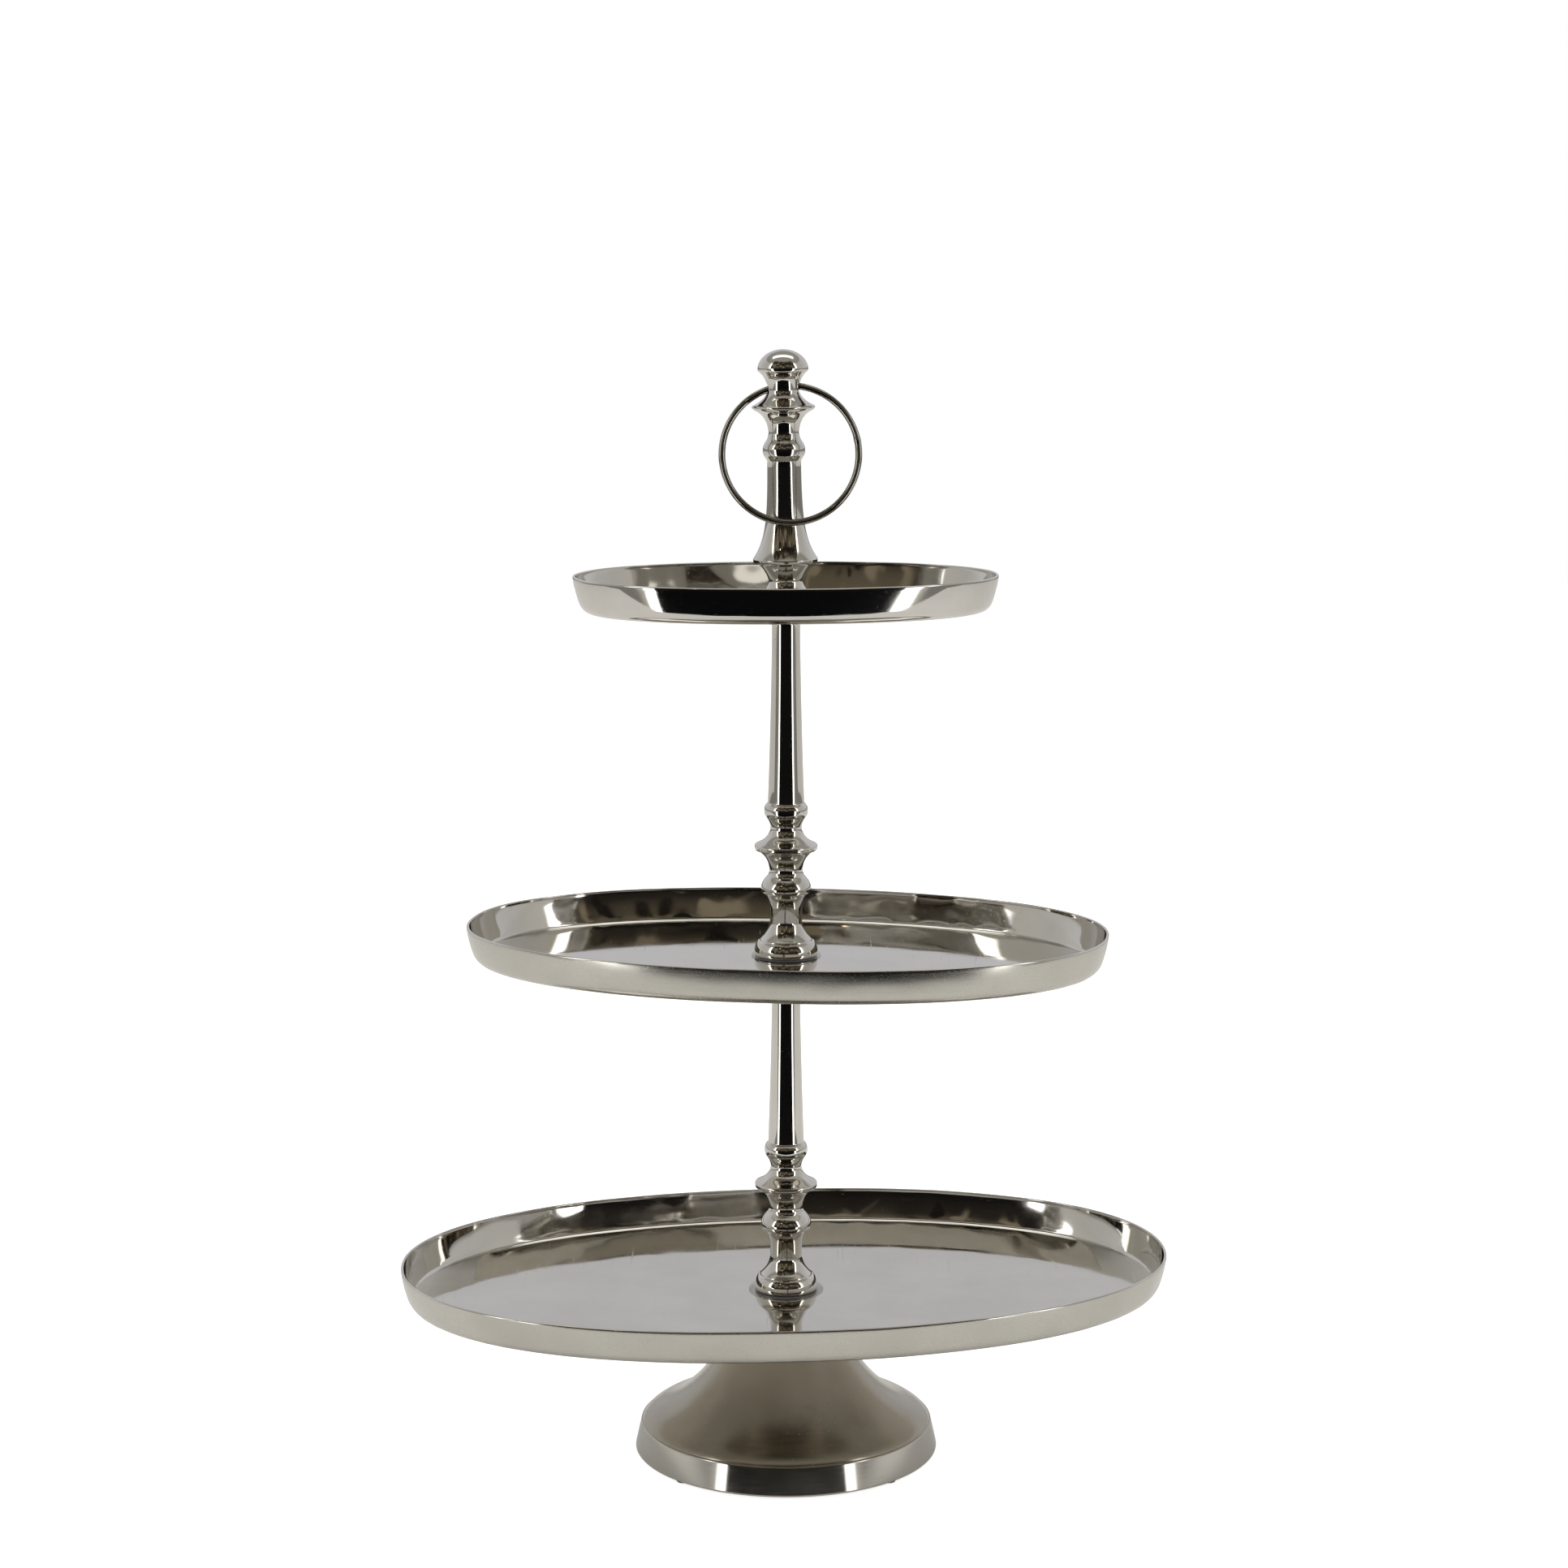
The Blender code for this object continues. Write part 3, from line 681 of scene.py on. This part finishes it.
def tray_outline(half_width, rise):
    """A round tray's section as (radius, height), closed, from its hole's upper edge."""
    def floor(edge, height, steps=8):
        """Points across the floor, whose middle rises over its edge."""
        width = edge - TRAY_SEAT_RADIUS
        shares = [i / steps for i in range(steps + 1)]
        return [(TRAY_SEAT_RADIUS + width * share, height - rise * share ** 2) for share in shares]

    rim = TRAY_HEIGHT - rise
    floor_edge = half_width - 8.4
    upper = TRAY_THICKNESS - rise
    inside = outline((floor_edge, upper), [
        ((half_width - 6.6, upper), (half_width - 6.0, upper + 2.0)),
        ((half_width - 3.0, 14.5 - rise), (half_width - 1.8, rim - 0.8)),
    ], steps=8)
    edge = outline(inside[-1], [
        ((half_width - 1.9, rim), (half_width - 1.2, rim)),
        (half_width - 0.9, rim),
        ((half_width - 0.1, rim), (half_width, rim - 0.8)),
    ], steps=4)
    outside = outline(edge[-1], [
        ((half_width - 0.6, 15.5 - rise), (half_width - 3.0, 7.8 - rise)),
        ((half_width - 5.0, -rise), (half_width - WALL_INSET, -rise)),
    ], steps=8)
    upper_floor = floor(floor_edge, TRAY_THICKNESS)
    lower_floor = floor(half_width - WALL_INSET, 0.0)
    return ([(STUD_HOLE, TRAY_THICKNESS)] + upper_floor[:-1] + inside + edge[1:] + outside[1:]
            + lower_floor[-2::-1] + [(STUD_HOLE, 0.0)])


def press_oval(shape, half_length, half_width, seed):
    """Stretches a round tray to its oval, and gives its wall the waves and uneven height of hand grinding.
    The flat seat round the hole stays round. Bows are long waves, dents short ones, and ripples follow the
    fillet.
    """
    wall_start = half_width - WALL_INSET
    for corner in shape.verts:
        angle = math.atan2(corner.co.y, corner.co.x)
        radius = math.hypot(corner.co.x, corner.co.y) / MM
        height = corner.co.z / MM
        if radius <= TRAY_SEAT_RADIUS:
            continue
        if radius < wall_start:
            share = (radius - TRAY_SEAT_RADIUS) / (wall_start - TRAY_SEAT_RADIUS)
            edge = oval(half_length - WALL_INSET, half_width - WALL_INSET, angle)
            x = TRAY_SEAT_RADIUS * math.cos(angle) * (1 - share) + edge[0] * share
            y = TRAY_SEAT_RADIUS * math.sin(angle) * (1 - share) + edge[1] * share
        else:
            inset = half_width - radius
            x, y = oval(half_length - inset, half_width - inset, angle)
            firm = min(1.0, max(0.0, (WALL_INSET - inset) / FIRM_INSET))
            on_fillet = max(0.0, 1 - abs(inset - RIPPLE_INSET) / RIPPLE_REACH)
            bow = noise.noise(Vector((BOW_PACE * math.cos(angle), BOW_PACE * math.sin(angle), seed)))
            dent = noise.noise(Vector((x, y, DENT_STRETCH * height)) / DENT_WIDTH + Vector((0, 0, seed)))
            ripple = noise.noise(Vector((x, y, seed)) / RIPPLE_WIDTH)
            push = firm * (BOW_DEPTH * bow + DENT_DEPTH * dent) + RIPPLE_DEPTH * ripple * on_fillet
            x, y = x * (1 - push / half_length), y * (1 - push / half_width)
            lift = noise.noise(Vector((RIM_PACE * x, RIM_PACE * y, RIM_SEED * seed)) / half_width)
            height += firm * BOW_DEPTH * lift
        corner.co = Vector((x, y, height)) * MM


for seed, (which, (half_length, half_width, turn, rise)) in enumerate(TRAYS.items()):
    shape = turn_shape(tray_outline(half_width, rise), steps=TRAY_POINTS, closed=True, edge=0)
    press_oval(shape, half_length, half_width, SEED_STEP * seed)
    shape.normal_update()
    bmesh.ops.rotate(shape, verts=shape.verts, cent=(0, 0, 0),
                     matrix=Matrix.Rotation(math.radians(turn), 3, "Z"))
    bmesh.ops.translate(shape, verts=shape.verts, vec=(0, 0, TRAY_LEVELS[which] * MM))
    for face in shape.faces:
        centre = face.calc_center_median()
        outward = Vector((centre.x / half_length ** 2, centre.y / half_width ** 2, 0.0))
        outer_wall = face.normal.z < 0.25 and face.normal.dot(outward) > 0
        face.material_index = int(outer_wall and face.normal.z > -0.9 and which != "top")
    finish_piece(shape, which + "_oval_tray", which + "_tray", [which + "_tray"],
                 [mirror_nickel, rubbed_nickel], crease=50)


# ---------- Clear washers ----------
# Thin discs of clear plastic between each tray's floor and the turned base above it. They let the tray turn
# and save its polish, and only their edges show.

RUBS_PER_METRE = 300.0
LOWER_CLEAR_RADIUS = 23.5
UPPER_CLEAR_RADIUS = 21.5


def clear_plastic():
    """Clear PVC sheet: nearly invisible face on, and a pale gloss where it is seen edge on or rubbed."""
    material, surface, place = new_material("clear_pvc_sheet", {"Base Color": tone("#DADCDB"), "IOR": 1.53})
    tree = material.node_tree
    rubs = add_node(tree, "TexNoise", {"Vector": place, "Scale": RUBS_PER_METRE, "Detail": 4.0})
    haze = add_node(tree, "MapRange", {"Value": rubs, "To Min": 0.02, "To Max": 0.16})
    tree.links.new(haze.outputs[0], surface["Roughness"])
    slant = add_node(tree, "LayerWeight", {"Blend": 0.3}).outputs["Facing"]
    body = add_node(tree, "MapRange", {"Value": slant, "To Min": 0.08, "To Max": 0.35})
    tree.links.new(body.outputs[0], surface["Alpha"])
    return material


clear_pvc = clear_plastic()
for which, tray_z in TRAY_LEVELS.items():
    radius = LOWER_CLEAR_RADIUS if which == "bottom" else UPPER_CLEAR_RADIUS
    bottom = tray_z + TRAY_THICKNESS + POST_GAP
    disc_points = ring_points(STUD_HOLE, radius, bottom, bottom + CLEAR_THICKNESS)
    disc = turn_shape(disc_points, closed=True, edge=0.12)
    finish_piece(disc, which + "_clear_disc", "post", [which + "_clear_washer"], [clear_pvc])


# ---------- Stems ----------
# Two equal stems of turned aluminium: a waisted shaft over two beads and a flange, on a round base. They are
# polished on the lathe and nickel plated, and tapped at both ends for the studs.

STUD_HOLE_DEPTH = 25.0
BASE_RADIUS = 19.7
FLANGE_RADIUS = 19.5

# Nickel over lathe-polished aluminium: a tight mirror whose lines run round the piece.
turned_nickel = metal("lathe_polished_nickel_plate", ("#CAC7C0", "#D2CFC8"), (0.05, 0.09),
                      wobble=(0.02, 14.0), brushing=0.5)


def base_moves(step_height):
    """The rounded base that stems and handle stand on, from its step down to its underside and bore."""
    return [
        (16.2, step_height),
        (17.3, step_height - 0.3),
        ((19.3, step_height - 2.4), (BASE_RADIUS, 1.5)),
        (BASE_RADIUS - 0.3, 0.0),
        (STUD_HOLE, 0.0),
        (STUD_HOLE, STUD_HOLE_DEPTH),
        (0.0, STUD_HOLE_DEPTH),
    ]


def stem_points():
    """A stem's outline from the bottom of its upper tapped hole to the top of its lower one."""
    top = STEM_LENGTH
    shaft = [
        (STUD_HOLE, top - STUD_HOLE_DEPTH),
        (STUD_HOLE, top),
        (10.0, top),
        (10.0, top - 1.0),
        ((8.8, top - 2.6), (8.7, top - 7.0)),
        (8.7, 199.0),
        ((9.3, 147.0), (11.3, 95.2)),
    ]
    upper_bead = [
        ((13.9, 93.2), (13.5, 89.3)),
        ((13.4, 87.6), (12.5, 86.3)),
        (11.9, 85.4),
        ((10.2, 83.0), (9.75, 80.0)),
    ]
    flange = [
        ((10.0, 73.0), (18.6, 69.5)),
        ((19.9, 68.8), (FLANGE_RADIUS, 67.4)),
        ((19.6, 66.0), (18.6, 65.6)),
        ((10.4, 61.8), (10.45, 52.4)),
    ]
    lower_bead = [
        (11.2, 49.8),
        ((15.7, 45.5), (15.7, 41.2)),
        (15.3, 39.3),
        ((9.9, 37.5), (10.0, 28.0)),
        (9.9, 20.9),
    ]
    base = [((11.0, 14.0), (16.0, 9.6)), *base_moves(8.9)]
    return outline((0.0, top - STUD_HOLE_DEPTH), shaft + upper_bead + flange + lower_bead + base)


for which, stem_z in (("lower", LOWER_STEM_Z), ("upper", UPPER_STEM_Z)):
    stem = turn_shape(shift_points(stem_points(), stem_z))
    finish_piece(stem, which + "_turned_stem", "post", [which + "_stem"],
                 [turned_nickel])


# ---------- Handle ----------
# A turned aluminium handle, polished and plated like the stems: a bell-mouthed shaft, a bead, a flange and a
# domed knob. Its neck is cross-drilled for the ring. Its thread isn't quite square, so it leans a little.

HANDLE_LENGTH = 156.4
KNOB_RADIUS = 15.3
KNOB_DOME_HEIGHT = 12.0
KNOB_EDGE = HANDLE_LENGTH - KNOB_DOME_HEIGHT
DISC_TOP = 30.4
SHAFT_TOP = 89.4
SHAFT_RADIUS = 10.1
BELL_SPREAD = 9.6
BELL_LENGTH = 13.0
HANDLE_LEAN = 0.75
RING_HOLE_RADIUS = 3.4
RING_HOLE_Z = HANDLE_Z + 133.6


def handle_points():
    """The handle's outline from the top of its knob to the top of the tapped hole in its base."""
    dome = [math.pi / 2 * i / 16 for i in range(1, 17)]
    knob = [(KNOB_RADIUS * math.sin(a), KNOB_EDGE + KNOB_DOME_HEIGHT * math.cos(a)) for a in dome]
    neck = [
        (14.9, KNOB_EDGE - 1.0),
        ((9.9, 139.6), (9.5, 132.4)),
        ((9.8, 127.4), (17.6, 123.2)),
    ]
    flange = [
        ((19.6, 122.6), (18.9, 121.4)),
        (17.9, 120.2),
        ((10.2, 117.0), (9.14, 107.1)),
    ]
    bead = [
        ((9.3, 103.5), (11.1, 101.2)),
        ((12.9, 98.6), (12.8, 95.9)),
        ((12.7, 93.0), (11.6, 91.9)),
        (10.4, 89.9),
    ]
    bell = []
    for i in range(25):
        climb = (SHAFT_TOP - DISC_TOP) * (1 - i / 24) ** 1.6
        bell.append((SHAFT_RADIUS + BELL_SPREAD * math.exp(-climb / BELL_LENGTH), DISC_TOP + climb))
    disc = [
        (19.5, 28.3),
        (17.0, 27.6),
        ((12.6, 24.5), (10.4, 17.6)),
        ((11.2, 12.0), (16.0, 8.6)),
        *base_moves(8.0),
    ]
    return outline((0.0, HANDLE_LENGTH), knob + neck + flange + bead + bell + disc)


handle_shape = turn_shape(shift_points(handle_points(), HANDLE_Z))
bmesh.ops.rotate(handle_shape, verts=handle_shape.verts, cent=(0, 0, HANDLE_Z * MM),
                 matrix=Matrix.Rotation(-math.radians(HANDLE_LEAN), 3, "Y"))
handle = finish_piece(handle_shape, "turned_handle", "post", ["handle"],
                      [turned_nickel])
drill_shape = bmesh.new()
bmesh.ops.create_cone(drill_shape, cap_ends=True, segments=64, radius1=RING_HOLE_RADIUS * MM,
                      radius2=RING_HOLE_RADIUS * MM, depth=4 * FLANGE_RADIUS * MM)
bmesh.ops.rotate(drill_shape, verts=drill_shape.verts, cent=(0, 0, 0),
                 matrix=Matrix.Rotation(math.pi / 2, 3, "Y"))
bmesh.ops.translate(drill_shape, verts=drill_shape.verts, vec=(0, 0, RING_HOLE_Z * MM))
drill_mesh = bpy.data.meshes.new("ring_hole_drill")
drill_shape.to_mesh(drill_mesh)
drill_shape.free()
drill = bpy.data.objects.new("ring_hole_drill", drill_mesh)
bpy.context.scene.collection.objects.link(drill)
cross_hole = handle.modifiers.new("cross_hole", "BOOLEAN")
cross_hole.operation = "DIFFERENCE"
cross_hole.solver = "EXACT"
cross_hole.object = drill
bpy.context.view_layer.objects.active = handle
bpy.ops.object.modifier_apply(modifier=cross_hole.name)
bpy.data.objects.remove(drill, do_unlink=True)
handle.data.shade_smooth()
handle.data.set_sharp_from_angle(angle=math.radians(35))


# ---------- Ring ----------
# A ring of 4 mm steel wire, bent round, threaded through the neck and closed with a brazed joint, and then
# plated. It hangs forward and leans on the shaft.

RING_RADIUS = 41.2
RING_WIRE_RADIUS = 2.05
RING_SHIFT = 2.6
RING_DROP = 40.2
RING_TILT = 9.9
BRAZE_ANGLE = 12.0
BRAZE_LENGTH = 3.5
BRAZE_SWELL = 0.16

ring_shape = bmesh.new()
bmesh.ops.create_circle(ring_shape, cap_ends=False, radius=RING_WIRE_RADIUS * MM, segments=28)
bmesh.ops.rotate(ring_shape, verts=ring_shape.verts, cent=(0, 0, 0),
                 matrix=Matrix.Rotation(math.pi / 2, 3, "X"))
bmesh.ops.translate(ring_shape, verts=ring_shape.verts, vec=(RING_RADIUS * MM, 0, 0))
bmesh.ops.spin(ring_shape, geom=ring_shape.verts[:] + ring_shape.edges[:], cent=(0, 0, 0), axis=(0, 0, 1),
               angle=2 * math.pi, steps=240, use_merge=True)
bmesh.ops.recalc_face_normals(ring_shape, faces=ring_shape.faces)
for corner in ring_shape.verts:
    heading = math.atan2(corner.co.y, corner.co.x)
    centre = Vector((RING_RADIUS * math.cos(heading), RING_RADIUS * math.sin(heading), 0.0)) * MM
    along = (heading - math.radians(BRAZE_ANGLE)) * RING_RADIUS / BRAZE_LENGTH
    swell = 1 + BRAZE_SWELL / RING_WIRE_RADIUS * math.exp(-4 * along * along)
    corner.co = centre + (corner.co - centre) * swell
hung = Matrix.Translation((RING_SHIFT * MM, 0, -RING_DROP * MM)) @ Matrix.Rotation(math.pi / 2, 4, "X")
leaning = Matrix.Rotation(-math.radians(RING_TILT), 4, "X") @ hung
bmesh.ops.transform(ring_shape, verts=ring_shape.verts,
                    matrix=Matrix.Translation((0, 0, RING_HOLE_Z * MM)) @ leaning)

# Thin nickel over drawn steel wire: a darker and smoother mirror than on the castings.
wire_nickel = metal("nickel_plated_drawn_wire", ("#9C9993", "#ABA8A2"), (0.04, 0.06),
                    wobble=(0.01, 14.0), scratches=0.0)
finish_piece(ring_shape, "wire_ring", "ring", ["ring"], [wire_nickel])
